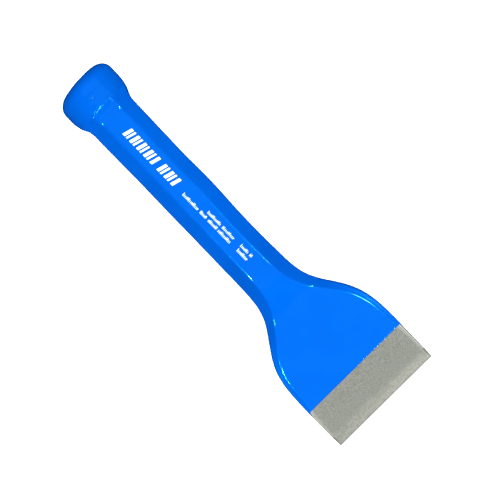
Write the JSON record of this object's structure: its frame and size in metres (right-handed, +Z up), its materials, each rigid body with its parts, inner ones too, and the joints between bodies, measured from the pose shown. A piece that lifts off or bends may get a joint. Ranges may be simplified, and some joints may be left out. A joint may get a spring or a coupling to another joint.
{
  "type": "mason's chisel",
  "caption": "One-piece forged chisel with a crowned round head, an eight-sided shank and a wide flat ground blade, enamelled blue down to the bare cutting end.",
  "frame": {"origin": "under the middle of the length, on the ground that the tool lies on", "axes": "+X from the struck head towards the cutting edge, which dips 1.7 degrees because the tool lies on its head and on the end of its shank; +Y across the blade; +Z up out of the flat that carries the print"},
  "size_m": [0.1908, 0.0564, 0.0282],
  "materials": {
    "ground_steel": "ground bare steel with fine scratches across the blade and a brighter bevel",
    "blue_enamel": "glossy blue enamel over a forged surface",
    "white_ink": "matt white printed ink"
  },
  "bodies": {
    "root": {"forged_steel_body": "ground_steel", "enamel_coat": "blue_enamel", "print_name_mark": "white_ink", "print_type_line": "white_ink", "print_notice_line": "white_ink", "print_origin_line_upper": "white_ink", "print_origin_line_lower": "white_ink"}
  },
  "joints": []
}
